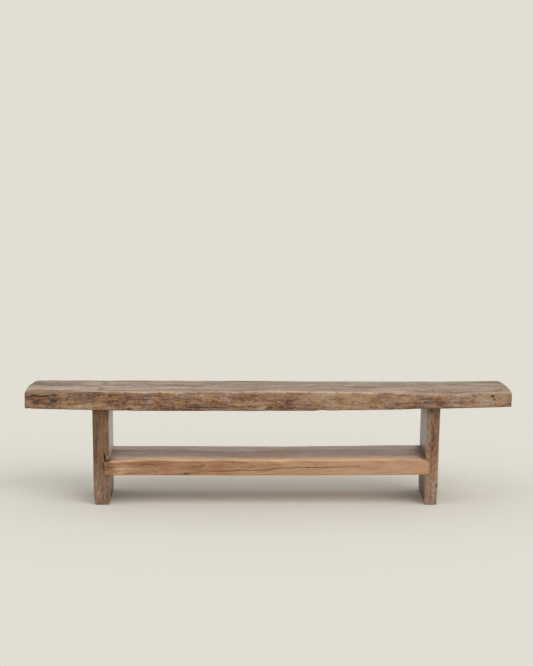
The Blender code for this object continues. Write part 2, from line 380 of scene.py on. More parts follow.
def old_timber(name, timber, knots=()):
    """Make weathered wood: rings round a heart, grain fibres, knots, age, painted shade and sheen."""
    finish = Finish(bpy.data.materials.new(name))
    place = finish.node("TexCoord", None, None, "Object")
    place, nearest = round_knots(finish, place, knots, timber.grain)
    grain = read_grain(finish, timber, place)
    age = SimpleNamespace(**{kind: finish.attribute(kind) for kind in AGES})
    hue = (grain.streak + grain.blotch + grain.mottle) * (0.044 * timber.tinting) + 0.4985

    def grained(colour, strength=0.9):
        """Make a colour paler and darker with the grain."""
        shade = grain.swing * strength + (1.0 + timber.ring_share * 0.2)
        return finish.node("HueSaturation", None, {"Hue": hue, "Value": shade, "Color": colour})

    tone = timber.level + grain.swing + grain.run * timber.drift
    wood = finish.node("ValToRGB", {"stops": list(zip(SHADE_PLACES, timber.shades))}, {0: tone})
    richness = grain.tint * timber.tinting + timber.richness
    wood = finish.node("HueSaturation", None, {"Hue": hue, "Saturation": richness, "Color": wood})

    # Faces that look up turn grey, from weathering and as painted sheen.
    weather_and_sheen = finish.step(grain.patch + grain.streak * 0.9 + grain.mottle * 0.5, -0.36, 0.16)
    weather_and_sheen = (grain.upward * 0.9 + 0.1) * weather_and_sheen * (1.0 - age.hewn)
    # Bleached places turn pale; on the legs' inner faces that paleness is painted sheen too.
    pale = finish.step(age.bleached + age.bleached * grain.ragged * 0.5, 0.10, 1.10)
    rubbed = finish.step(age.worn + grain.mottle * 0.5 + grain.streak * 0.4, 0.10, 0.80)
    fleck = finish.step(grain.speck, 0.15, 0.24)
    # Grime darkens the wood, and so does the shade painted under parts, in corners and on edges.
    grime_and_shade_share = finish.step(age.grime + age.grime * grain.ragged * 0.6, 0.20, 0.95)
    layers = (
        (grained(timber.end), grain.end * 0.6),
        (grained(timber.grey, timber.grey_grain), weather_and_sheen * timber.weathering_and_sheen),
        (grained(timber.bleach), pale * 0.8),
        (grained(timber.worn), rubbed * 0.9),
        (timber.shades[0], fleck * 0.65),
        (timber.shades[0], grime_and_shade_share * 0.75),
    )
    for colour, share in layers:
        wood = finish.mix(wood, colour, share)
    if nearest:
        wood = colour_knots(finish, wood, nearest, grain.ragged, timber)
    # Stains, and the shade painted deep in cracks, take the dirt colour.
    dirt = finish.step(age.stain + age.stain * grain.ragged, 0.36, 0.66).maths('MAXIMUM', age.hollow)
    wood = finish.mix(wood, timber.dirt, dirt * 0.92)

    shine = timber.roughness + grain.fibre * 0.2 + grain.blotch * 0.4 + grime_and_shade_share * 0.1 + age.hollow * 0.3
    relief = grain.streak * 0.9 + grain.fibre * 0.5 + grain.grit * 0.3 + grain.hair * 0.12
    relief = relief - grain.late * 0.25 - fleck * 0.3 - dirt * 0.2
    bump = finish.node("Bump", None, {"Strength": 1.0, "Distance": RELIEF_DEPTH, "Height": relief})
    finish.feed(finish.shader, {"Base Color": wood, "Roughness": shine, "Normal": bump,
                                "Specular IOR Level": TIMBER_SHEEN})
    return finish.owner


print("timber recipe is ready")

# %% [markdown]
# ## A plank, cut into cells
# Each plank starts as a cube of its packed size. Its edges are cut into many short ones, so that
# the surface can be shaped finely. The cells are crowded towards the arrises, the long edges
# where two faces meet, because that is where a plank wears most.


# %% A plank, cut into cells
def alone(piece):
    """Make this the only selected object, and the active one."""
    bpy.ops.object.select_all(action='DESELECT')
    piece.select_set(True)
    bpy.context.view_layer.objects.active = piece


def points(piece):
    """Return the places of all points of a mesh."""
    places = np.empty(len(piece.data.vertices) * 3)
    piece.data.vertices.foreach_get("co", places)
    return places.reshape(-1, 3)


def put_points(piece, places):
    """Move the points of a mesh to these places."""
    piece.data.vertices.foreach_set("co", places.ravel())
    piece.data.update()


def corners(node):
    """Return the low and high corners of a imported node."""
    return tuple(np.array(corner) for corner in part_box(node))


def block(low, high):
    """Add a plain box between two corners."""
    low, high = Vector(low), Vector(high)
    box = added(bpy.ops.mesh.primitive_cube_add, size=1.0, location=(low + high) / 2)
    box.scale = high - low
    bpy.ops.object.transform_apply()
    return box


def cut_along(piece, axis, parts):
    """Cut every edge that runs along this axis into equal parts."""
    mesh = piece.data
    ends = np.empty(len(mesh.edges) * 2, dtype=np.int32)
    mesh.edges.foreach_get("vertices", ends)
    places = points(piece)
    run = np.abs(places[ends[1::2]] - places[ends[0::2]])
    bpy.context.tool_settings.mesh_select_mode = (False, True, False)
    for others in (mesh.vertices, mesh.polygons):
        others.foreach_set("select", np.zeros(len(others), dtype=bool))
    mesh.edges.foreach_set("select", run.argmax(axis=1) == axis)
    alone(piece)
    bpy.ops.object.mode_set(mode='EDIT')
    bpy.ops.mesh.subdivide(number_cuts=parts - 1)
    bpy.ops.object.mode_set(mode='OBJECT')


def plank(name, low, high, cells, crowding):
    """Add a box between two corners and cut it into cells, in two rounds along each axis."""
    piece = block(low, high)
    piece.name = name
    piece.data.name = name
    for axis, rounds in enumerate(cells):
        for parts in rounds:
            cut_along(piece, axis, parts)
    share = (points(piece) - low) / (high - low)
    share -= np.array(crowding) / (2 * math.pi) * np.sin(2 * math.pi * share)
    put_points(piece, low + share * (high - low))
    return piece


print("planks can be cut into cells")

# %% [markdown]
# ## Noise and soft edges
# No old surface is even. Smooth noise at each point gives low waves, and a few layers of it, fine
# ones on coarse ones, give the look of a hand-worked face. Everything that begins or ends on a
# plank does so softly, by one of two curves: a rise between two values, or a bell round a place.


# %% Noise and soft edges
def ripple(places, scale, seed):
    """Return smooth noise at each place, between about -1 and 1, scaled along each axis."""
    spots = places * np.array(scale) + seed
    return np.array([noise.noise(Vector(spot)) for spot in spots])


def waves(places, layers, base=0.0):
    """Add layers of noise to a base, each with a height, a scale along each axis and a seed."""
    total = base
    for height, scale, seed in layers:
        total = total + height * ripple(places, scale, seed)
    return total


def rise(value, low, high):
    """Rise smoothly from 0 at low to 1 at high."""
    share = np.clip((value - low) / (high - low), 0.0, 1.0)
    return share * share * (3.0 - 2.0 * share)


def bell(gap, width):
    """Return 1 at no gap, falling away over this width."""
    return np.exp(-(gap / width) ** 2)


def skin(gap, reach):
    """Return 1 on a face, falling away with the gap to it."""
    return np.exp(-np.abs(gap) / reach)


def round_arrises(places, low, high, radius):
    """Round off a box's edges by a radius at each point. Also return the way out of the box."""
    reach = radius[:, None]
    core = np.clip(places, low + reach, high - reach)
    out = places - core
    out /= np.linalg.norm(out, axis=1)[:, None]
    return core + out * reach, out


def dent_knots(uneven, places, knots, depth, stretch):
    """Lower the surface at each knot."""
    for spot, size, strength in knots:
        gap = np.linalg.norm((places - spot) * stretch, axis=1)
        uneven -= depth * strength * bell(gap, size)


print("planks can be rounded and made uneven")

# %% [markdown]
# ## Cracks, nail holes and joints
# A drying crack is a long thin lens sunk into the face. A nail hole is a narrow tapered pin, and
# a mortise or housing is a plain box. Each is modelled as a cutter, and a Boolean takes the
# cutters out of the plank, so that they are real hollows from any side. Cutters that are joined
# must not touch each other, so cracks, holes and joints are cut one kind after the other.

# %% Cracks, nail holes and joints
LENS_SIDES = 8
LENS_STEP = 0.009
LENS_FEWEST = 12
LENS_BLUNT = 0.45
LEAST_GIRTH = 1e-6
PIN_SIDES = 10
PIN_TAPER = 0.7
BACKWARD = (0.0, 1.0, 0.0)
FORWARD = (0.0, -1.0, 0.0)
DOWNWARD = (0.0, 0.0, -1.0)
UPWARD = (0.0, 0.0, 1.0)
RIGHTWARD = (1.0, 0.0, 0.0)
LEFTWARD = (-1.0, 0.0, 0.0)


def crack(path, width, depth, inward, seed):
    """Add a thin wavering lens along a path, sunk inward from the face that it lies on."""
    path = np.array(path)
    inward = np.array(inward, dtype=float)
    steps = np.linalg.norm(np.diff(path, axis=0), axis=1)
    far = np.concatenate(([0.0], np.cumsum(steps)))
    rings = max(LENS_FEWEST, int(far[-1] / LENS_STEP))
    cutter = added(bpy.ops.mesh.primitive_uv_sphere_add, segments=LENS_SIDES, ring_count=rings, radius=1.0)
    unit = points(cutter)
    blunt = np.maximum(np.hypot(unit[:, 0], unit[:, 1]), LEAST_GIRTH) ** -LENS_BLUNT
    reach = (1.0 - np.arccos(np.clip(unit[:, 2], -1.0, 1.0)) / math.pi) * far[-1]
    spine = np.column_stack([np.interp(reach, far, path[:, axis]) for axis in range(3)])
    thin = np.cross((path[-1] - path[0]) / np.linalg.norm(path[-1] - path[0]), inward)
    line = np.column_stack((reach, np.zeros_like(reach), np.zeros_like(reach)))
    waver = waves(line, ((1.0, (28.0, 0.0, 0.0), seed * 7.3 + 0.4), (0.5, (90.0, 0.0, 0.0), seed * 3.1)))
    swell = waves(line, ((0.5, (55.0, 0.0, 0.0), seed * 5.7 + 2.0),), 1.0)
    sideways = unit[:, 1] * blunt * width / 2 * swell + waver * width * 0.8
    put_points(cutter, spine + np.outer(unit[:, 0] * blunt * depth, inward) + np.outer(sideways, thin))
    return cutter


def on_upright(y, path):
    """Put a path of steps along and up on an upright face of the bench."""
    return [(along, y, up) for along, up in path]


def pin(place, radius, depth, inward):
    """Add a tapered pin sunk inward from a place on a face."""
    turn = Vector(inward).to_track_quat('Z', 'Y').to_euler()
    made = added(bpy.ops.mesh.primitive_cone_add, vertices=PIN_SIDES, radius1=radius,
                 radius2=radius * PIN_TAPER, depth=2 * depth, location=place, rotation=turn)
    bpy.ops.object.transform_apply()
    return made


def bar(centre, radius, length, sides):
    """Add a round bar along the bench."""
    made = added(bpy.ops.mesh.primitive_cylinder_add, vertices=sides, radius=radius, depth=length,
                 location=centre, rotation=(0.0, math.pi / 2, 0.0))
    bpy.ops.object.transform_apply()
    return made


def carve(piece, cutters, operation='DIFFERENCE'):
    """Take the cutters out of a piece, or join them to it."""
    alone(cutters[0])
    for cutter in cutters:
        cutter.select_set(True)
    if len(cutters) > 1:
        bpy.ops.object.join()
    tool = bpy.context.object
    alone(piece)
    work = piece.modifiers.new("work", 'BOOLEAN')
    work.operation = operation
    work.solver = 'EXACT'
    work.object = tool
    bpy.ops.object.modifier_apply(modifier=work.name)
    bpy.data.objects.remove(tool)
    if not piece.data.polygons:
        raise ValueError(f"nothing is left of {piece.name}")


print("cutters are ready")

# %% [markdown]
# ## Marks of age
# Wear is strongest on an arris, so it is worked out from the gaps to the two faces that meet
# there. Stains and bleached places are spots with a place, a size and a strength, drawn out
# along the grain and ragged at the edge. Depth under the faces tells where a crack is, and
# shade is painted deep in it.

# %% Marks of age
SPOT_STRETCH = 0.55
SPOT_WAVES = ((0.45, (70.0, 70.0, 70.0), 3.0),)
# Wear stays near the faces, and shade is painted in a crack from the first of these depths to the second.
WEAR_DEPTH = 0.002
WEAR_FADE = 0.004
DARK_DEPTHS = (0.0045, 0.012)
SMOOTH_BELOW = math.radians(38.0)


def near_arris(first, second, first_reach, second_reach):
    """Return 1 on the arris where two faces meet, falling away with the gaps to both."""
    return np.exp(-np.abs(first) / first_reach - np.abs(second) / second_reach)


def spots_on(y, spots):
    """Put spots on an upright face, each with its place along and up, its size and its strength."""
    return tuple(((along, y, up), size, strength) for along, up, size, strength in spots)


def spotted(places, spots, grain):
    """Return how strongly each place is marked by spots, each with a place, a size and a strength."""
    stretch = np.array([SPOT_STRETCH if axis == grain else 1.0 for axis in range(3)])
    ragged = waves(places, SPOT_WAVES, 1.0)
    marked = np.zeros(len(places))
    for spot, size, strength in spots:
        gap = np.linalg.norm((places - spot) * stretch, axis=1) * ragged
        marked = np.maximum(marked, strength * bell(gap, size))
    return marked


def mark_age(piece, depth=0.0, **marks):
    """Write each point's age and its painted shade and sheen, from its depth under the faces and its marks.
    """
    marks["worn"] = marks.get("worn", 0.0) * np.exp(-np.clip(depth - WEAR_DEPTH, 0.0, None) / WEAR_FADE)
    marks["hollow"] = rise(depth, *DARK_DEPTHS)
    for name in AGES:
        values = np.zeros(len(piece.data.vertices), dtype=np.float32) + marks.get(name, 0.0)
        made = piece.data.attributes.new(name, 'FLOAT', 'POINT')
        made.data.foreach_set("value", np.asarray(values, dtype=np.float32))


def finish_piece(piece, material, slot, *nodes):
    """Smooth a piece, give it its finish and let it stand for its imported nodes."""
    alone(piece)
    bpy.ops.object.shade_smooth_by_angle(angle=SMOOTH_BELOW)
    piece.data.materials.clear()
    piece.data.materials.append(material)
    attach(piece, BODY)
    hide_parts(*nodes)
    print(piece.name, len(piece.data.polygons), "faces")


print("marks of age are ready")

# %% [markdown]
# ## The seat
# The seat is one slab, flat on top and thinner towards its ends, most at the right. Its front edge
# is uneven, a worn facet slopes down at the left front corner, and the front rolls off softly near
# the right end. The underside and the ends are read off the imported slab.

# %% The shape of the seat
SEAT_CELLS = ((20, 16), (8, 8), (6, 4))
SEAT_CROWDING = (0.3, 0.7, 0.6)
SEAT_SAG = ((-0.95, -0.60, 0.0, 0.40, 0.75, 0.95),
            (0.0020, 0.0006, -0.0012, -0.0033, -0.0036, -0.0010))
# The slab has cupped as it dried, so its front edge stands a little higher than its middle.
SEAT_CUP = ((-0.95, -0.70, -0.45, 0.10, 0.45, 0.95), (0.0, 0.0014, 0.0028, 0.0030, 0.0020, 0.0010))
SEAT_CUP_REACH = 0.17
SEAT_BELLY = ((-0.10, 0.05, 0.20, 0.26, 0.36, 0.52, 0.72, 0.95),
              (0.0, 0.0008, 0.0012, 0.0018, 0.0010, -0.0005, 0.0001, 0.0005))
# The worn facet at the left front corner: its furthest point along the bench, its reach from the
# front there, how fast the reach shrinks to the left and right, and how steeply the facet falls.
FACET_PEAK = -0.895
FACET_REACH = 0.068
FACET_SHRINK = (0.40, 0.30)
FACET_SLOPE = 0.140
FACET_SOFT = 0.008
# The front rolls off softly near the right end: place along the bench, half length, reach and drop.
ROLL_PLACE, ROLL_HALF, ROLL_REACH, ROLL_DROP = 0.680, 0.140, 0.075, 0.0055
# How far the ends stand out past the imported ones, along most of the end and more at the back.
END_SPARE = ((0.0020, 0.0050), (0.0027, 0.0030))
END_FROM_FRONT = (-0.13, -0.09)
END_TO_BACK = (0.05, 0.14)
END_ZONE = 0.9
OUTLINE_STEP = 0.001

seat_low, seat_high = corners("seat_slab")
seat_middle = (seat_low[2] + seat_high[2]) / 2
FRONT, BACK = seat_low[1], seat_high[1]


def outline(near, far, pick):
    """Return the outermost place at each step along an edge, for reading between them."""
    steps = np.unique(np.round(near, 3))
    return steps, np.array([pick(far[np.abs(near - step) < OUTLINE_STEP]) for step in steps])


seat_cad = points(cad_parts["seat_slab"])
cad_x, cad_y, cad_z = seat_cad.T
below, at_left, at_right = cad_z < seat_middle, cad_x < -END_ZONE, cad_x > END_ZONE
UNDERSIDE = outline(cad_x[below], cad_z[below], np.min)
LEFT_END = outline(cad_y[at_left], cad_x[at_left], np.min)
RIGHT_END = outline(cad_y[at_right], cad_x[at_right], np.max)


def underside(x):
    """Return the height of the seat's underside along the bench."""
    return np.interp(x, *UNDERSIDE) + np.interp(x, *SEAT_BELLY)


def in_facet(x, y):
    """Return how far a place lies inside the worn facet, counted back from its rim."""
    shrink = np.where(x < FACET_PEAK, *FACET_SHRINK)
    return FACET_REACH - shrink * (np.hypot(x - FACET_PEAK, FACET_SOFT) - FACET_SOFT) - (y - FRONT)


def seat_top(x, y):
    """Return the height of the seat's top, with its worn facet and its soft front."""
    height = seat_high[2] + np.interp(x, *SEAT_SAG)
    height = height + np.interp(x, *SEAT_CUP) * (1.0 - rise(y - FRONT, 0.0, SEAT_CUP_REACH))
    rolled = ROLL_DROP * bell(x - ROLL_PLACE, ROLL_HALF)
    height = height - rolled * (1.0 - rise(y - FRONT, 0.0, ROLL_REACH))
    facet = in_facet(x, y)
    return height - FACET_SLOPE / 2 * (facet + np.hypot(facet, FACET_SOFT) - FACET_SOFT)


def seat_ends(y):
    """Return x at the left and right ends of the seat, from front to back."""
    ends = []
    for cad, way, (most, back) in ((LEFT_END, -1, END_SPARE[0]), (RIGHT_END, 1, END_SPARE[1])):
        spare = most * rise(y, *END_FROM_FRONT) + back * rise(y, *END_TO_BACK)
        ends.append(np.interp(y, *cad) + way * spare)
    return ends


print("underside from", underside(-0.95), "to", underside(0.0), "and", underside(0.95))

# %% [markdown]
# ## Marks on the seat
# Old timber is known by its marks. Knots swell the grain round them. Stains are dark smudges where
# iron and dirt have worked in, and bleached spots are where an old pale coat or the sun has left
# its trace. Each mark has a place, a size and a strength.

# %% Marks on the seat
SEAT_KNOTS = (
    *spots_on(FRONT, ((-0.836, 0.418, 0.009, 0.95), (-0.280, 0.395, 0.009, 0.95),
                      (0.000, 0.386, 0.008, 0.90), (-0.595, 0.402, 0.005, 0.85))),
    *spots_on(BACK, ((0.420, 0.415, 0.014, 0.80), (-0.500, 0.405, 0.010, 0.80))),
    ((0.300, 0.040, 0.450), 0.008, 0.60),
)
SEAT_STAINS = (
    *spots_on(FRONT, (
        (-0.836, 0.441, 0.007, 1.0), (-0.817, 0.427, 0.006, 0.6), (-0.838, 0.416, 0.007, 1.0),
        (-0.921, 0.410, 0.004, 0.55), (-0.785, 0.426, 0.005, 0.8), (-0.690, 0.411, 0.022, 0.42),
        (-0.564, 0.410, 0.004, 1.0), (-0.545, 0.384, 0.009, 1.0), (-0.505, 0.407, 0.007, 0.6),
        (-0.342, 0.441, 0.008, 0.5), (-0.272, 0.421, 0.005, 0.9), (-0.290, 0.425, 0.004, 0.9),
        (-0.300, 0.393, 0.007, 0.8), (0.012, 0.390, 0.007, 0.8), (-0.108, 0.439, 0.008, 0.45),
        (0.205, 0.444, 0.004, 0.7), (0.585, 0.393, 0.020, 0.45), (0.873, 0.407, 0.006, 0.5),
        (-0.180, 0.391, 0.026, 0.42), (-0.850, 0.427, 0.020, 0.43), (0.884, 0.424, 0.006, 0.7),
        (0.877, 0.436, 0.005, 0.8))),
    *spots_on(BACK, ((0.700, 0.425, 0.016, 0.6), (-0.150, 0.400, 0.020, 0.55), (-0.800, 0.430, 0.011, 0.8))),
    ((0.640, 0.074, 0.450), 0.020, 0.7),
)
SEAT_BLEACH = (
    *spots_on(FRONT, (
        (-0.470, 0.420, 0.016, 0.45), (-0.346, 0.447, 0.010, 1.0), (0.736, 0.441, 0.011, 0.8),
        (-0.255, 0.441, 0.007, 0.8), (0.205, 0.386, 0.009, 0.9), (0.566, 0.442, 0.008, 0.8),
        (-0.738, 0.394, 0.007, 0.8), (0.477, 0.408, 0.012, 0.7), (0.855, 0.402, 0.032, 0.55),
        (-0.170, 0.430, 0.010, 0.6), (-0.715, 0.440, 0.022, 0.5), (0.620, 0.409, 0.026, 0.5),
        (0.750, 0.409, 0.024, 0.5))),
    *spots_on(BACK, ((-0.220, 0.410, 0.022, 0.6), (0.550, 0.430, 0.018, 0.6))),
    ((0.925, -0.100, 0.446), 0.035, 0.6), ((-0.605, -0.060, 0.450), 0.045, 0.35),
    ((0.665, -0.070, 0.450), 0.040, 0.6), ((0.150, 0.050, 0.450), 0.050, 0.5),
)
# Chips out of the front arrises: place along the bench, half length and extra radius.
TOP_CHIPS = ((-0.352, 0.018, 0.008), (0.120, 0.010, 0.004), (0.330, 0.060, 0.002),
             (0.680, 0.130, 0.009))
LOW_CHIPS = ((-0.550, 0.012, 0.007), (0.000, 0.014, 0.006), (0.212, 0.018, 0.016),
             (0.586, 0.035, 0.010))
# Cracks in the front edge, the back edge, the top and the underside: path, width and depth.
SEAT_CRACKS = {
    "front": (
        (((-0.970, 0.4345), (-0.900, 0.4352), (-0.842, 0.4358)), 0.0044, 0.030),
        (((-0.600, 0.4020), (-0.520, 0.4045)), 0.0018, 0.010),
        (((-0.345, 0.3915), (-0.240, 0.3908), (-0.150, 0.3895)), 0.0026, 0.014),
        (((-0.140, 0.3935), (-0.020, 0.3922)), 0.0020, 0.010),
        (((0.395, 0.4275), (0.485, 0.4262)), 0.0017, 0.008),
        (((0.690, 0.4140), (0.840, 0.4155)), 0.0015, 0.008),
        (((-0.760, 0.4085), (-0.660, 0.4105)), 0.0018, 0.008),
        (((0.020, 0.4335), (0.150, 0.4315)), 0.0015, 0.007),
    ),
    "back": (
        (((0.970, 0.4200), (0.880, 0.4210), (0.760, 0.4190)), 0.0036, 0.026),
        (((0.250, 0.4080), (0.020, 0.4040)), 0.0022, 0.012),
        (((-0.350, 0.4250), (-0.620, 0.4290)), 0.0020, 0.012),
    ),
    "top": (
        (((-0.970, 0.028), (-0.880, 0.034), (-0.790, 0.037)), 0.0030, 0.020),
        (((0.800, 0.020), (0.880, 0.026), (0.970, 0.030)), 0.0026, 0.018),
        (((-0.350, 0.075), (-0.100, 0.079)), 0.0018, 0.010),
        (((0.700, 0.080), (0.790, 0.084)), 0.0026, 0.012),
        (((0.100, -0.020), (0.340, -0.016)), 0.0015, 0.008),
        (((0.886, -0.130), (0.900, -0.100), (0.928, -0.040)), 0.0055, 0.014),
    ),
    "under": (
        (((-0.500, -0.030), (-0.180, -0.036)), 0.0022, 0.012),
        (((0.050, 0.060), (0.420, 0.052)), 0.0026, 0.014),
    ),
}
# Old nail holes in the front edge: place along the bench, height and radius.
NAIL_HOLES = ((-0.836, 0.4400, 0.0022), (-0.830, 0.4190, 0.0024), (0.877, 0.4360, 0.0024),
              (0.886, 0.4230, 0.0018))
NAIL_DEPTH = 0.010
print(len(SEAT_KNOTS), "knots and", len(SEAT_STAINS), "stains")

# %% [markdown]
# ## Planing and wearing the seat
# The arrises are rounded by a radius that changes along the slab. Then the faces get low waves and
# the dents of a hewn edge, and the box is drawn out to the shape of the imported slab.

# %% Planing and wearing the seat
# Radii of the arrises on top, below and round the ends, and the least and most that they wear to.
TOP_ARRIS, LOW_ARRIS, END_ARRIS = 0.0024, 0.0028, 0.0045
SEAT_ARRIS_LIMITS = (0.0012, 0.022)
# How softly front turns to back, below to top, and the middle to the ends.
BACK_BLEND = 0.03
TOP_BLEND = 0.006
END_BLEND = (0.90, 0.945)
# Layers of noise: the arrises, every face, the flat faces, the hewn edges and the sawn ends.
ARRIS_WAVES = ((0.5, (6.0, 3.0, 3.0), 11.0), (0.45, (22.0, 5.0, 5.0), 13.0))
FACE_WAVES = ((0.0010, (3.0, 12.0, 12.0), 2.0), (0.0005, (11.0, 45.0, 45.0), 5.0))
FLAT_WAVES = ((0.0005, (16.0, 26.0, 26.0), 21.0),)
HEWN_WAVES = ((0.0017, (9.0, 4.0, 24.0), 8.0), (0.0011, (34.0, 8.0, 60.0), 9.0))
END_WAVES = ((0.0022, (4.0, 18.0, 26.0), 10.0),)
SEAT_KNOT_DENT = 0.0016
SEAT_KNOT_STRETCH = (0.7, 1.0, 1.0)
# The underside stays flat where the legs meet it: their place along the bench, and how far round it.
LEG_PLACE = 0.65
LEG_CLEARING = 0.10

seat = plank("seat_slab_timber", seat_low, seat_high, SEAT_CELLS, SEAT_CROWDING)
places = points(seat)
x, y, z = places.T
to_back = rise(y, -BACK_BLEND, BACK_BLEND)
to_top = rise(z, seat_middle - TOP_BLEND, seat_middle + TOP_BLEND)
to_end = rise(np.abs(x), *END_BLEND)
radius = to_top * TOP_ARRIS + (1.0 - to_top) * LOW_ARRIS
radius += to_end * (END_ARRIS - radius)
radius *= waves(places, ARRIS_WAVES, 1.0)
for chips, share in ((TOP_CHIPS, to_top), (LOW_CHIPS, 1.0 - to_top)):
    for middle, half, extra in chips:
        radius += extra * bell(x - middle, half) * share * (1.0 - to_back)
places, out = round_arrises(places, seat_low, seat_high, np.clip(radius, *SEAT_ARRIS_LIMITS))
uneven = waves(places, FACE_WAVES)
for axis, layers in enumerate((END_WAVES, HEWN_WAVES, FLAT_WAVES)):
    uneven += np.abs(out[:, axis]) * waves(places, layers)
dent_knots(uneven, places, SEAT_KNOTS, SEAT_KNOT_DENT, SEAT_KNOT_STRETCH)
clear_of_legs = np.minimum(np.abs(np.abs(x) - LEG_PLACE) / LEG_CLEARING, 1.0) ** 2
uneven *= np.where(out[:, 2] < -0.5, clear_of_legs, 1.0)
places += out * uneven[:, None]
share = (places - seat_low) / (seat_high - seat_low)
left_x, right_x = seat_ends(y)
places[:, 0] = left_x + share[:, 0] * (right_x - left_x)
places[:, 2] = underside(x) + share[:, 2] * (seat_top(x, y) - underside(x))
put_points(seat, places)
print("seat planed:", len(places), "points")

# %% [markdown]
# ## Mortises, cracks and nail holes in the seat
# Each leg comes up through the seat in two tenons. Their places are read off the top of the
# packed legs, and the seat gets a mortise a hair larger than each one.

# %% Mortises, cracks and nail holes in the seat
JOINT_GAP = 0.0004
OVERRUN = 0.02
BELOW_SEAT = 0.1
CROWN_DEPTH = 0.001
LEGS = ("left", "right")
ROWS = ("front", "rear")


def tenon_box(side, row):
    """Return the corners of a tenon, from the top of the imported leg."""
    cad = points(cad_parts[f"{side}_leg"])
    crown = cad[cad[:, 2] > seat_high[2] - CROWN_DEPTH]
    crown = crown[(crown[:, 1] < 0.0) == (row == "front")]
    return crown.min(axis=0), crown.max(axis=0)


def seat_crack(kind, seed, path, width, depth):
    """Add one crack of the seat, on the face that its kind names."""
    along, across = np.array(path).T
    line, inward = {
        "front": (on_upright(FRONT, path), BACKWARD),
        "back": (on_upright(BACK, path), FORWARD),
        "top": (np.column_stack((along, across, seat_top(along, across))), DOWNWARD),
        "under": (np.column_stack((along, across, underside(along))), UPWARD),
    }[kind]
    return crack(line, width, depth, inward, seed)


TENONS = {(side, row): tenon_box(side, row) for side in LEGS for row in ROWS}
slack = np.array((JOINT_GAP, JOINT_GAP, OVERRUN))
carve(seat, [block(low - slack - (0.0, 0.0, BELOW_SEAT), high + slack) for low, high in TENONS.values()])
for kind, cracks in SEAT_CRACKS.items():
    carve(seat, [seat_crack(kind, seed, *one) for seed, one in enumerate(cracks)])
carve(seat, [pin((along, FRONT, up), size, NAIL_DEPTH, BACKWARD) for along, up, size in NAIL_HOLES])
print("seat cut:", len(seat.data.polygons), "faces")

# %% [markdown]
# ## The seat's age and finish
# Sitting has rubbed a strip of the top along the front pale, more in some places than in others.
# Painted shade darkens the lower front edge and the corners, and the top darkens towards the back.

# %% The seat's age and finish
TOP_SKIN = 0.0035
RUBBED_WAVES = ((0.5, (6.0, 0.0, 0.0), 15.0), (0.5, (24.0, 0.0, 0.0), 16.0))
# How far back the rubbed strip reaches, and how much further where the front rolls off.
RUBBED_REACH, RUBBED_MORE = 0.022, 0.020

places = points(seat)
x, y, z = places.T
left_x, right_x = seat_ends(y)
ends = np.minimum(x - left_x, right_x - x)
front, back = y - FRONT, BACK - y
top, low = seat_top(x, y) - z, z - underside(x)
facet = in_facet(x, y)
rolled = bell(x - ROLL_PLACE, ROLL_HALF)
on_top = skin(top, TOP_SKIN)
hewn = rise(facet, -0.008, 0.012) + 0.9 * rolled * (1.0 - rise(front, 0.02, 0.09))
worn = waves(places, RUBBED_WAVES, 1.0) * np.exp(-front / (RUBBED_REACH + RUBBED_MORE * rolled))
worn *= (1.0 - 0.25 * rolled) * on_top * (1.0 - rise(facet, -0.010, 0.004))
worn += 0.2 * bell(facet + 0.012, 0.012) * on_top + 0.3 * near_arris(ends, top, 0.010, 0.004)
# Painted shade along the lower front edge and the end corners; the top darker towards the back, the facet
# browner.
grime = 0.9 * near_arris(front, low, 0.020, 0.005) + 0.7 * near_arris(ends, front, 0.005, 0.020)
grime += on_top * (0.41 * rise(y, -0.08, 0.12) + 0.35 * rise(facet, 0.0, 0.04))
mark_age(seat, np.minimum.reduce((ends, front, back, top, low)), worn=worn, grime=grime, hewn=hewn,
         stain=spotted(places, SEAT_STAINS, 0), bleached=spotted(places, SEAT_BLEACH, 0))
# The seat pales to the right by its drift, painted light from the right; its grey top is partly painted
# sheen.
SEAT_TIMBER = Timber(
    grain=0, heart=(0.05, 0.30), slant=(0.012, 0.010), ring=0.0085, ring_share=0.24, contrast=1.12,
    shades=((0.078, 0.042, 0.025), (0.165, 0.086, 0.043), (0.225, 0.119, 0.061),
            (0.285, 0.161, 0.087), (0.350, 0.213, 0.123)),
    grey=(0.335, 0.244, 0.189), worn=(0.48, 0.320, 0.212), end=(0.160, 0.100, 0.062),
    richness=0.97, weathering_and_sheen=0.78, grey_grain=1.45, level=0.66, drift=0.17)
seat_wood = old_timber("weathered_seat_timber", SEAT_TIMBER, SEAT_KNOTS)
finish_piece(seat, seat_wood, "seat_wood", "seat_slab")

# %% [markdown]
# ## The shelf
# The shelf is newer and warmer in colour than the rest. It has bent and cupped as it dried, while
# its ends stay square in their housings.

# %% The shape of the shelf
SHELF_CELLS = ((16, 15), (8, 8), (5, 4))
SHELF_CROWDING = (0.3, 0.7, 0.55)
SHELF_BEND_TOP = ((-0.64, -0.30, 0.05, 0.35, 0.50, 0.64),
                  (0.0020, 0.0010, -0.0004, 0.0030, 0.0050, 0.0050))
SHELF_BEND_LOW = ((-0.64, -0.15, 0.20, 0.64), (0.0000, -0.0012, 0.0000, 0.0028))
# How much higher or lower the front of the top is: worn down at the left end, cupped in the middle.
SHELF_CUP = ((-0.645, -0.625, -0.60, -0.56, -0.45, 0.10, 0.30, 0.45),
             (-0.0050, -0.0048, -0.0030, 0.0, 0.0022, 0.0026, 0.0020, 0.0004))
SHELF_CUP_REACH = 0.105
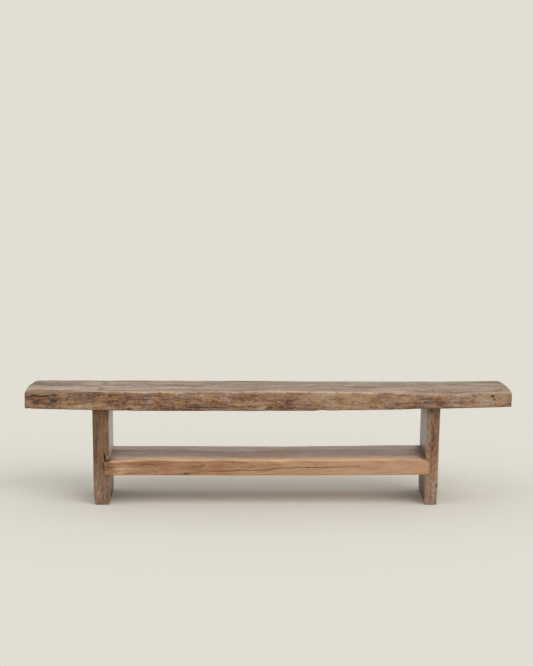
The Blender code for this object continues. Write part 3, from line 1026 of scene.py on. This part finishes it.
# The gaps to the ends between which the shelf goes from square and even to worn and uneven.
HOUSED_FADE = (0.020, 0.110)
SQUARE_ARRIS = 0.0010
LOW_WEAR, TOP_WEAR = 0.0016, 0.0002
SHELF_ARRIS_LIMITS = (0.0010, 0.02)
SHELF_ARRIS_WAVES = ((0.40, (5.0, 3.0, 3.0), 51.0), (0.3, (16.0, 3.0, 3.0), 52.0))
SHELF_FACE_WAVES = ((0.0008, (2.5, 11.0, 11.0), 52.0), (0.0004, (9.0, 40.0, 40.0), 55.0))
SHELF_BLEND = 0.005

shelf_low, shelf_high = corners("lower_shelf")
shelf_middle = (shelf_low[2] + shelf_high[2]) / 2
SHELF_FRONT = shelf_low[1]


def shelf_span(x, y):
    """Return the heights of the shelf's underside and top."""
    cup = np.interp(x, *SHELF_CUP) * (1.0 - rise(y - SHELF_FRONT, 0.0, SHELF_CUP_REACH))
    top = shelf_high[2] + np.interp(x, *SHELF_BEND_TOP) + cup
    return shelf_low[2] + np.interp(x, *SHELF_BEND_LOW), top


shelf = plank("lower_shelf_timber", shelf_low, shelf_high, SHELF_CELLS, SHELF_CROWDING)
places = points(shelf)
x, y, z = places.T
free = rise(np.minimum(x - shelf_low[0], shelf_high[0] - x), *HOUSED_FADE)
to_top = rise(z, shelf_middle - SHELF_BLEND, shelf_middle + SHELF_BLEND)
radius = SQUARE_ARRIS + free * (LOW_WEAR - to_top * TOP_WEAR)
radius *= waves(places, SHELF_ARRIS_WAVES, 1.0)
places, out = round_arrises(places, shelf_low, shelf_high, np.clip(radius, *SHELF_ARRIS_LIMITS))
places += out * (waves(places, SHELF_FACE_WAVES) * free)[:, None]
share = (places[:, 2] - shelf_low[2]) / (shelf_high[2] - shelf_low[2])
low_z, top_z = shelf_span(x, places[:, 1])
places[:, 2] = low_z + share * (top_z - low_z)
put_points(shelf, places)
print("shelf planed:", len(places), "points")

# %% [markdown]
# ## Cracks and holes in the shelf
# One long crack wanders along the front of the shelf. The pegs that come through the legs run into
# its ends, so each end gets two holes.

# %% Cracks and holes in the shelf
FRONT_CRACK = ((-0.290, 0.1355), (-0.170, 0.1370), (-0.110, 0.1396), (-0.040, 0.1412),
               (0.010, 0.1445), (0.070, 0.1483), (0.130, 0.1513), (0.200, 0.1522),
               (0.300, 0.1530), (0.360, 0.1555), (0.430, 0.1595))
BACK_CRACK = ((0.380, 0.1420), (0.120, 0.1480))
# Path, width, depth and the way in.
SHELF_CRACKS = (
    (on_upright(SHELF_FRONT, FRONT_CRACK), 0.0026, 0.012, BACKWARD),
    (on_upright(-SHELF_FRONT, BACK_CRACK), 0.0024, 0.012, FORWARD),
)
SHELF_SEED = 60
HOLE_SIDES = 24


def peg_box(side, row):
    """Return a peg's centre, radius and length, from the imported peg."""
    low, high = (Vector(corner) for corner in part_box(f"{side}_{row}_peg"))
    return (low + high) / 2, (high.y - low.y) / 2, high.x - low.x


pegs = [peg_box(side, row) for side in LEGS for row in ROWS]
carve(shelf, [bar(centre, radius + JOINT_GAP, length + 2 * JOINT_GAP, HOLE_SIDES)
              for centre, radius, length in pegs])
carve(shelf, [crack(*one, SHELF_SEED + seed) for seed, one in enumerate(SHELF_CRACKS)])
print("shelf cut:", len(shelf.data.polygons), "faces")

# %% [markdown]
# ## The shelf's age and finish
# Feet have rubbed a strip along the front of the top pale. Behind it lies a darker band, and the
# back is bleached. Painted shade darkens the top by the legs, deepest in the corner by the right
# one, and the lower front edge; the front darkens near its right end.

# %% The shelf's age and finish
SHELF_KNOTS = (((-0.321, SHELF_FRONT, 0.127), 0.006, 0.6), ((0.250, 0.142, 0.150), 0.010, 0.7))
SHELF_STAINS = (((0.105, 0.000, 0.178), 0.012, 0.6), ((-0.330, SHELF_FRONT, 0.127), 0.004, 0.7))
SHELF_BLEACH = (((0.550, 0.020, 0.180), 0.055, 0.75), ((-0.250, 0.050, 0.180), 0.050, 0.4))
STRIP_REACH = 0.105
STRIP_WAVES = ((0.25, (5.0, 0.0, 0.0), 57.0), (0.15, (22.0, 0.0, 0.0), 58.0))
FRONT_SKIN = 0.003
HOUSING_DEPTH = 0.019
# By the left and right legs: painted shade over the back of the top, a darker front arris, and painted shade
# all over the corner.
SHADE_BY_LEGS, END_ARRIS_DARKENING, CORNER_SHADE_ON_SHELF = (0.28, 0.30), (0.0, 0.75), (0.0, 1.1)

places = points(shelf)
x, y, z = places.T
low_z, top_z = shelf_span(x, y)
ends = np.minimum(x - shelf_low[0], shelf_high[0] - x)
front, back = y - shelf_low[1], shelf_high[1] - y
top, low = top_z - z, z - low_z
uneven = waves(places, STRIP_WAVES, 1.0)
strip = np.clip(1.0 - front / (STRIP_REACH * uneven), 0.0, 1.0)
on_top = skin(top, TOP_SKIN)
worn = rise(ends, 0.0, 0.05) * strip * on_top
worn += 0.45 * bell(x - shelf_low[0] - 0.070, 0.050) * skin(front, FRONT_SKIN)
at_left = x < 0.0
from_leg = np.clip(ends - HOUSING_DEPTH, 0.0, None)
# Painted shade along the lower front edge, and on the top by the legs and in the corners there.
grime = 0.8 * near_arris(front, low, 0.020, 0.003)
grime += np.where(at_left, *SHADE_BY_LEGS) * np.exp(-from_leg / 0.030) * on_top * rise(front, 0.02, 0.06)
grime += np.where(at_left, *END_ARRIS_DARKENING) * near_arris(ends, front, 0.018, 0.003)
grime += np.where(at_left, *CORNER_SHADE_ON_SHELF) * np.exp(-from_leg / 0.016) * on_top * rise(front, -0.02, 0.015)
grime += 0.30 * on_top * rise(front, 0.06, 0.11) * rise(back, 0.055, 0.085)
bleached = spotted(places, SHELF_BLEACH, 0) + 0.85 * on_top * (1.0 - rise(back * uneven, 0.060, 0.105))
mark_age(shelf, np.minimum.reduce((ends, front, back, top, low)), worn=worn, grime=grime,
         stain=spotted(places, SHELF_STAINS, 0), bleached=bleached, hewn=strip * on_top)
# The shelf pales to the right by its drift, painted light from the right; its grey top is partly painted
# sheen.
SHELF_TIMBER = Timber(
    grain=0, heart=(-0.1955, 0.158), slant=(0.060, -0.010), ring=0.0095, ring_share=0.25, contrast=0.80,
    shades=((0.150, 0.070, 0.032), (0.255, 0.128, 0.062), (0.340, 0.184, 0.096),
            (0.415, 0.238, 0.130), (0.470, 0.290, 0.168)),
    grey=(0.315, 0.240, 0.196), worn=(0.76, 0.460, 0.265), end=(0.210, 0.122, 0.070),
    bleach=(0.64, 0.510, 0.430), cloudy=0.35, tinting=0.45, richness=1.03, weathering_and_sheen=0.90,
    level=0.72, drift=0.50)
shelf_wood = old_timber("warm_shelf_timber", SHELF_TIMBER, SHELF_KNOTS)
finish_piece(shelf, shelf_wood, "shelf_wood", "lower_shelf")

# %% [markdown]
# ## The legs
# Each leg is an upright plank with its grain running up. It leans a little, and its faces are
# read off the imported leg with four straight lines, so the plank can be drawn out between them.
# Towards the foot the faces draw in, where years of damp floors have worn them.

# %% The shape of the legs
LEG_CELLS = ((6, 4), (8, 8), (9, 8))
LEG_CROWDING = (0.55, 0.7, 0.3)
# How far the outer and inner faces draw in at the foot, and over what height.
FOOT_DRAW = {"left": (0.0050, 0.0015), "right": (0.0035, 0.0010)}
FOOT_HEIGHT = 0.11
PROBES = [(y, z) for y in (-0.10, 0.10) for z in (0.04, 0.34)]
PROBE_START = 2.0


def struck(node, start, way):
    """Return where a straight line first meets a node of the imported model."""
    found, place, _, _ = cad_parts[node].ray_cast(Vector(start), Vector(way))
    if not found:
        raise ValueError(f"no face of {node} along that line")
    return np.array(place)


def face_plane(node, way):
    """Fit the flat face that four straight lines along the bench meet first."""
    hits = np.array([struck(node, (-PROBE_START * way, y, z), (way, 0.0, 0.0)) for y, z in PROBES])
    table = np.column_stack((np.ones(len(hits)), hits[:, 1], hits[:, 2]))
    return np.linalg.lstsq(table, hits[:, 0], rcond=None)[0]


FACE_PLANES = {side: [face_plane(f"{side}_leg", way) for way in (1.0, -1.0)] for side in LEGS}


def leg_faces(side, y, z):
    """Return x on the left and right faces of a leg, drawn in at the foot."""
    left, right = (plane[0] + plane[1] * y + plane[2] * z for plane in FACE_PLANES[side])
    outer, inner = FOOT_DRAW[side]
    draw = np.clip(1.0 - z / FOOT_HEIGHT, 0.0, 1.0) ** 2
    if side == "left":
        return left + outer * draw, right - inner * draw
    return left + inner * draw, right - outer * draw


print("faces of the left leg at the floor:", leg_faces("left", 0.0, 0.0))

# %% [markdown]
# ## Marks on the legs
# The legs have fewer marks than the seat. On the left one the saw ran on past the corners of the
# housing, above the shelf and beside it. On the right one a knot is ringed by two curved cracks.

# %% Marks on the legs
LEG_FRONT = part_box("left_leg")[0][1]
LEG_KNOTS = {
    "left": (((-0.690, 0.030, 0.230), 0.013, 0.8), ((-0.625, -0.040, 0.300), 0.009, 0.6)),
    "right": (((0.657, LEG_FRONT, 0.374), 0.008, 0.70), ((0.676, 0.015, 0.265), 0.012, 0.8)),
}
# The last right stain, below the shelf's end, is a painted shadow.
LEG_STAINS = {
    "left": ((-0.640, 0.114, 0.010, 0.55), (-0.660, 0.004, 0.022, 0.40), (-0.642, 0.190, 0.012, 0.5)),
    "right": ((0.662, 0.353, 0.006, 0.9), (0.664, 0.078, 0.004, 1.0), (0.655, 0.238, 0.008, 0.45),
              (0.640, 0.378, 0.006, 0.9), (0.657, 0.374, 0.0035, 1.0), (0.625, 0.118, 0.004, 0.6)),
}
LEG_BLEACH = {"left": ((-0.6325, 0.191, 0.006, 0.45),), "right": ()}
# Cracks in the front and back edges: path, width and depth.
FRONT_CRACKS = {
    "left": ((((-0.660, 0.300), (-0.661, 0.376)), 0.0014, 0.008),
             (((-0.650, 0.012), (-0.652, 0.085)), 0.0010, 0.008)),
    "right": ((((0.6330, 0.345), (0.6400, 0.335), (0.6470, 0.312), (0.6510, 0.275), (0.6525, 0.235)),
               0.0028, 0.008),
              (((0.6420, 0.372), (0.6500, 0.362), (0.6560, 0.336), (0.6600, 0.300)), 0.0013, 0.006),
              (((0.640, 0.020), (0.641, 0.070)), 0.0010, 0.005)),
}
BACK_CRACKS = {"left": (((-0.655, 0.020), (-0.655, 0.160)), 0.0024, 0.014),
               "right": (((0.645, 0.230), (0.646, 0.370)), 0.0024, 0.014)}
# Cracks in the outer faces: path, width, depth and the way in.
OUTER_CRACKS = {
    "left": (((-0.689, -0.060, 0.080), (-0.689, -0.055, 0.330)), 0.0022, 0.012, RIGHTWARD),
    "right": (((0.6735, 0.070, 0.150), (0.6745, 0.074, 0.360)), 0.0022, 0.012, LEFTWARD),
}
SAW_SLIPS = {
    "left": ((((-0.6413, 0.206), (-0.6426, 0.195), (-0.6420, 0.178)), 0.0060, 0.014),
             (((-0.6474, 0.118), (-0.6464, 0.150), (-0.6456, 0.176)), 0.0026, 0.007)),
    "right": (),
}
LEG_CRACK_SEED = 40
SAW_SLIP_SEED = 70


def front_cuts(cuts):
    """Put cracks or saw slips on the front edge of a leg."""
    return [(on_upright(LEG_FRONT, path), width, depth, BACKWARD) for path, width, depth in cuts]


def crack_leg(leg, side):
    """Cut the cracks of a leg, and then its saw slips."""
    path, width, depth = BACK_CRACKS[side]
    cracks = front_cuts(FRONT_CRACKS[side])
    cracks += [OUTER_CRACKS[side], (on_upright(-LEG_FRONT, path), width, depth, FORWARD)]
    for first, cuts in ((LEG_CRACK_SEED, cracks), (SAW_SLIP_SEED, front_cuts(SAW_SLIPS[side]))):
        if cuts:
            carve(leg, [crack(*one, first + seed) for seed, one in enumerate(cuts)])


print("marks on the legs:", {side: len(spots) for side, spots in LEG_STAINS.items()}, "stains")

# %% [markdown]
# ## Making a leg
# The plank is shaped up to its shoulders, where the seat rests on it. Then the tenons are joined
# on with a Boolean, and the housing for the shelf, the kerfs for the wedges and the holes for the
# pegs are cut. Tenons and wedges are planed level with the seat, as a joiner would do last.

# %% Making a leg
SHOULDER_GAP = 0.0003
TENON_PROUD = 0.0004
TENON_PARTS = 12
HOUSING_CUT = 0.2
PEG_HOLE_LENGTH = 0.3
# A wedge loses this share of its width from its head to its tip.
WEDGE_TAPER = 0.70
HEAD_DEPTH = 0.0005
LEG_ARRIS = {"left": 0.0040, "right": 0.0038}
LEG_ARRIS_LIMITS = (0.0008, 0.014)
# The arrises are rounder at the foot, over a height, and sharper by a share near the seat.
FOOT_ROUND, FOOT_ROUND_HEIGHT = 0.003, 0.03
SHOULDER_SHARP, SHOULDER_HEIGHT = 0.8, 0.02
LEG_SEED = 31.0
LEG_KNOT_DENT = 0.0014


def wedge_block(low, high, gap, overrun):
    """Add a wedge that narrows downwards, grown by a gap."""
    wedge = block(np.array(low) - gap, np.array(high) + (gap, gap, overrun))
    places = points(wedge)
    middle = (low[0] + high[0]) / 2
    depth = (high[2] - places[:, 2]) / (high[2] - low[2])
    places[:, 0] = middle + (places[:, 0] - middle) * (1.0 - WEDGE_TAPER * depth)
    put_points(wedge, places)
    return wedge


def level_with_seat(piece, proud):
    """Plane the top of a tenon or wedge to the seat, leaving it a hair proud."""
    places = points(piece)
    x, y, z = places.T
    top = z > z.max() - HEAD_DEPTH
    z[top] = seat_top(x, y)[top] + proud
    put_points(piece, places)


def plane_leg(side, low, high):
    """Shape the plank of a leg, up to its shoulders."""
    leg = plank(f"{side}_leg_timber", low, high, LEG_CELLS, LEG_CROWDING)
    places = points(leg)
    seed = LEG_SEED + low[0]
    radius = LEG_ARRIS[side] * waves(places, ((0.5, (4.0, 4.0, 9.0), seed),), 1.0)
    radius += FOOT_ROUND * bell(places[:, 2], FOOT_ROUND_HEIGHT)
    radius *= 1.0 - SHOULDER_SHARP * bell(places[:, 2] - high[2], SHOULDER_HEIGHT)
    places, out = round_arrises(places, low, high, np.clip(radius, *LEG_ARRIS_LIMITS))
    uneven = waves(places, ((0.0010, (14.0, 12.0, 4.0), seed + 3.0),
                            (0.0006, (50.0, 45.0, 12.0), seed + 6.0)))
    dent_knots(uneven, places, LEG_KNOTS[side], LEG_KNOT_DENT, 1.0)
    uneven *= np.where(np.abs(out[:, 2]) > 0.5, 0.0, 1.0)
    places += out * uneven[:, None]
    share = (places - low) / (high - low)
    left_x, right_x = leg_faces(side, places[:, 1], places[:, 2])
    places[:, 0] = left_x + share[:, 0] * (right_x - left_x)
    places[:, 2] = share[:, 2] * (underside(places[:, 0]) - SHOULDER_GAP)
    put_points(leg, places)
    return leg


def housing(side):
    """Add the box that the shelf's end needs in a leg."""
    end = shelf_low[0] if side == "left" else shelf_high[0]
    inward = HOUSING_CUT if side == "left" else -HOUSING_CUT
    low_z, high_z = shelf_span(end, 0.0)
    low = np.array((min(end, end + inward), shelf_low[1], low_z))
    high = np.array((max(end, end + inward), shelf_high[1], high_z))
    slack = np.array((SHOULDER_GAP, OVERRUN, SHOULDER_GAP))
    return block(low - slack, high + slack)


def cut_leg_joints(leg, side, shoulder):
    """Join the tenons to a leg, and cut the housing, the kerfs and the peg holes."""
    tenons = []
    kerfs = []
    for row in ROWS:
        low, high = TENONS[(side, row)]
        tenon = block((low[0], low[1], shoulder - OVERRUN), high)
        cut_along(tenon, 1, TENON_PARTS)
        level_with_seat(tenon, TENON_PROUD)
        tenons.append(tenon)
        kerfs.append(wedge_block(*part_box(f"{side}_{row}_wedge"), JOINT_GAP, OVERRUN))
    carve(leg, tenons, 'UNION')
    carve(leg, [housing(side)])
    holes = []
    for row in ROWS:
        centre, radius, _ = peg_box(side, row)
        holes.append(bar(centre, radius + JOINT_GAP, PEG_HOLE_LENGTH, HOLE_SIDES))
    carve(leg, kerfs + holes)


print("legs can be planed and jointed")

# %% [markdown]
# ## The legs' age
# Painted shade darkens each leg under the seat, the outer front edges, most on the left, the right
# leg's inner face below the shelf, and the corner where the shelf goes in. The right one's inner face
# is a little darker above the shelf too, and the feet are darker at the floor. The feet have been
# bleached by damp, the inner faces above the shelf are paled by weathering and by painted sheen, and
# hands and feet have rubbed the free edges.

# %% The legs' age
LEG_SKIN = 0.003
# Painted shade along each leg's outer front edge, on the side away from the light.
OUTER_EDGE_SHADE = {"left": 0.6, "right": 0.1}
OUTER_WEAR = {"left": 0.2, "right": 0.8}
# Darkening on the inner face above the shelf, and painted shade below it.
INNER_FACE_SHADE = {"left": (0.0, 0.05), "right": (0.25, 1.0)}
# Inner faces above the shelf paled: painted sheen, and some weathering.
INNER_SHEEN_AND_BLEACH = {"left": 1.1, "right": 0.9}
FOOT_BLEACH = {"left": 0.26, "right": 0.50}
FRONT_WEAR = {"left": 0.0, "right": 0.45}
# Painted shade on the inner face in the corner above the shelf.
CORNER_SHADE_ON_LEG = {"left": 0.0, "right": 1.2}
LEG_WEAR_WAVES = ((0.6, (0.0, 0.0, 14.0), 17.0),)
FOOT_BLEACH_WAVES = ((0.5, (20.0, 20.0, 9.0), 18.0),)
SHELF_LINE = 0.01
TENON_CLEAR = 0.001


def age_leg(leg, side, shoulder):
    """Mark how a leg has aged."""
    places = points(leg)
    x, y, z = places.T
    left_x, right_x = leg_faces(side, y, z)
    left, right = x - left_x, right_x - x
    front, back = y - LEG_FRONT, -LEG_FRONT - y
    depth = np.minimum.reduce((left, right, front, back, z))
    in_seat = z > shoulder + TENON_CLEAR
    depth[in_seat] = (seat_top(x, y) - z)[in_seat]
    inner, outer = (right, left) if side == "left" else (left, right)
    below_shelf = 1.0 - rise(z, shelf_low[2] - SHELF_LINE, shelf_low[2] + SHELF_LINE)
    on_inner = skin(inner, LEG_SKIN) * rise(front, 0.0, 0.02)
    under_seat = np.clip(shoulder - z, 0.0, None)

    worn = 0.6 * near_arris(inner, front, 0.006, 0.006) * rise(under_seat, 0.03, 0.10)
    worn += OUTER_WEAR[side] * near_arris(outer, front, 0.009, 0.006) * bell(z - 0.16, 0.08)
    worn += FRONT_WEAR[side] * skin(front, LEG_SKIN) * bell(z - 0.165, 0.05)
    worn += 0.4 * np.maximum(near_arris(left, back, 0.005, 0.005), near_arris(right, back, 0.005, 0.005))
    worn *= waves(places, LEG_WEAR_WAVES, 1.0)
    above, below = INNER_FACE_SHADE[side]
    # Painted shade under the seat, near and then wider, and darkening at the foot.
    grime = 0.8 * np.exp(-under_seat / 0.009) + 0.5 * np.exp(-z / 0.006)
    grime += (0.75 + 0.4 * near_arris(inner, front, 0.012, 0.010)) * np.exp(-under_seat / 0.040)
    # Painted shade on the outer front edge, the inner face below the shelf and the corner above it.
    grime += OUTER_EDGE_SHADE[side] * near_arris(outer, front, 0.003, 0.008)
    grime += on_inner * (above + (below - above) * below_shelf)
    grime += CORNER_SHADE_ON_LEG[side] * on_inner * skin(z - shelf_high[2], 0.020)
    worn[in_seat] = 0.0
    grime[in_seat] = 0.0
    bleached = FOOT_BLEACH[side] * (1.0 - rise(z, 0.05, 0.17)) * waves(places, FOOT_BLEACH_WAVES, 1.0)
    # Inner faces above the shelf paled, painted sheen as well as weathering.
    bleached += INNER_SHEEN_AND_BLEACH[side] * on_inner * (1.0 - below_shelf)
    bleached += spotted(places, spots_on(LEG_FRONT, LEG_BLEACH[side]), 2)
    stain = spotted(places, spots_on(LEG_FRONT, LEG_STAINS[side]), 2)
    mark_age(leg, depth, worn=worn, grime=grime, stain=stain, bleached=bleached)


def make_leg(side, timber):
    """Model one leg and finish it."""
    low, high = corners(f"{side}_leg")
    high[2] = float(underside((low[0] + high[0]) / 2)) - SHOULDER_GAP
    leg = plane_leg(side, low, high)
    cut_leg_joints(leg, side, high[2])
    crack_leg(leg, side)
    age_leg(leg, side, high[2])
    wood = old_timber(f"weathered_{side}_leg_timber", timber, LEG_KNOTS[side])
    finish_piece(leg, wood, f"{side}_leg_wood", f"{side}_leg")


# %% Both legs
# The legs' pale grey bleach colours also paint the sheen on their inner faces.
LEFT_TIMBER = Timber(
    grain=2, heart=(-0.75, 0.10), slant=(0.010, 0.060), ring=0.0075, ring_share=0.24, contrast=0.80,
    shades=((0.068, 0.036, 0.019), (0.120, 0.062, 0.028), (0.168, 0.088, 0.040),
            (0.212, 0.117, 0.056), (0.270, 0.160, 0.085)),
    grey=(0.215, 0.170, 0.138), worn=(0.27, 0.150, 0.072), end=(0.320, 0.245, 0.185),
    bleach=(0.660, 0.590, 0.560), cloudy=0.75, weathering_and_sheen=0.25, level=0.68, drift=-0.42, roughness=0.36)
RIGHT_TIMBER = replace(
    LEFT_TIMBER, heart=(0.648, -0.060), slant=(0.020, 0.220), ring=0.0070, ring_share=0.28, contrast=0.85,
    shades=((0.074, 0.039, 0.021), (0.140, 0.073, 0.036), (0.195, 0.104, 0.051),
            (0.250, 0.140, 0.071), (0.310, 0.187, 0.104)),
    grey=(0.230, 0.185, 0.150), worn=(0.32, 0.190, 0.105),
    bleach=(0.300, 0.280, 0.270), level=0.88, drift=-0.36)
make_leg("left", LEFT_TIMBER)
make_leg("right", RIGHT_TIMBER)

# %% [markdown]
# ## Wedges and pegs
# The wedges spread the tenons and the pegs hold the shelf. Both are split from hardwood and cut
# with a knife, so a wedge has a bruised head and a peg has flat facets round it and a rounded end.
# They show end grain on the seat and on the outer faces of the legs.

# %% Wedges and pegs
WEDGE_TIMBER = replace(LEFT_TIMBER, heart=(0.40, 0.10), ring=0.003, end=(0.265, 0.190, 0.140), drift=0.0)
PEG_TIMBER = replace(WEDGE_TIMBER, grain=0, heart=(0.05, 0.20), end=(0.150, 0.092, 0.055))
WEDGE_WOOD = old_timber("wedge_hardwood", WEDGE_TIMBER)
PEG_WOOD = old_timber("peg_hardwood", PEG_TIMBER)
WEDGE_PROUD = 0.0008
PEG_SIDES = 11
# Cuts along each axis, the width, segments and least angle of the bevel, and the depth of the dents.
WEDGE_CUTS, WEDGE_BEVEL, WEDGE_DENTS = ((1, 10), (2, 8)), (0.0006, 2, 30.0), 0.0007
PEG_CUTS, PEG_BEVEL, PEG_DENTS = ((0, 9),), (0.0022, 3, 60.0), 0.0006
WEDGE_SEED, PEG_SEED = 80.0, 90.0
DENTS_PER_METRE = (160.0, 160.0, 160.0)


def bevel_arrises(piece, width, segments, sharper_than):
    """Round all edges of a piece that turn more sharply than this."""
    alone(piece)
    edge = piece.modifiers.new("arris", 'BEVEL')
    edge.width = width
    edge.segments = segments
    edge.limit_method = 'ANGLE'
    edge.angle_limit = math.radians(sharper_than)
    bpy.ops.object.modifier_apply(modifier=edge.name)


def whittle(piece, amount, seed):
    """Give a small piece the unevenness of a knife cut, always inwards."""
    places = points(piece)
    middle = (places.min(axis=0) + places.max(axis=0)) / 2
    half = (places.max(axis=0) - places.min(axis=0)) / 2
    dents = amount * waves(places, ((0.5, DENTS_PER_METRE, seed),), 0.5)
    put_points(piece, places - (places - middle) / half * dents[:, None])


def cut_cells(piece, cuts):
    """Cut a small piece into parts along some axes."""
    for axis, parts in cuts:
        cut_along(piece, axis, parts)


for seed, (side, row) in enumerate(TENONS):
    wedge = wedge_block(*corners(f"{side}_{row}_wedge"), 0.0, 0.0)
    wedge.name = f"{side}_{row}_wedge_block"
    cut_cells(wedge, WEDGE_CUTS)
    level_with_seat(wedge, WEDGE_PROUD)
    bevel_arrises(wedge, *WEDGE_BEVEL)
    whittle(wedge, WEDGE_DENTS, WEDGE_SEED + seed)
    mark_age(wedge)
    finish_piece(wedge, WEDGE_WOOD, "wedge_wood", f"{side}_{row}_wedge")

    peg = bar(*peg_box(side, row), PEG_SIDES)
    peg.name = f"{side}_{row}_peg_dowel"
    cut_cells(peg, PEG_CUTS)
    bevel_arrises(peg, *PEG_BEVEL)
    whittle(peg, PEG_DENTS, PEG_SEED + seed)
    mark_age(peg)
    finish_piece(peg, PEG_WOOD, "peg_wood", f"{side}_{row}_peg")
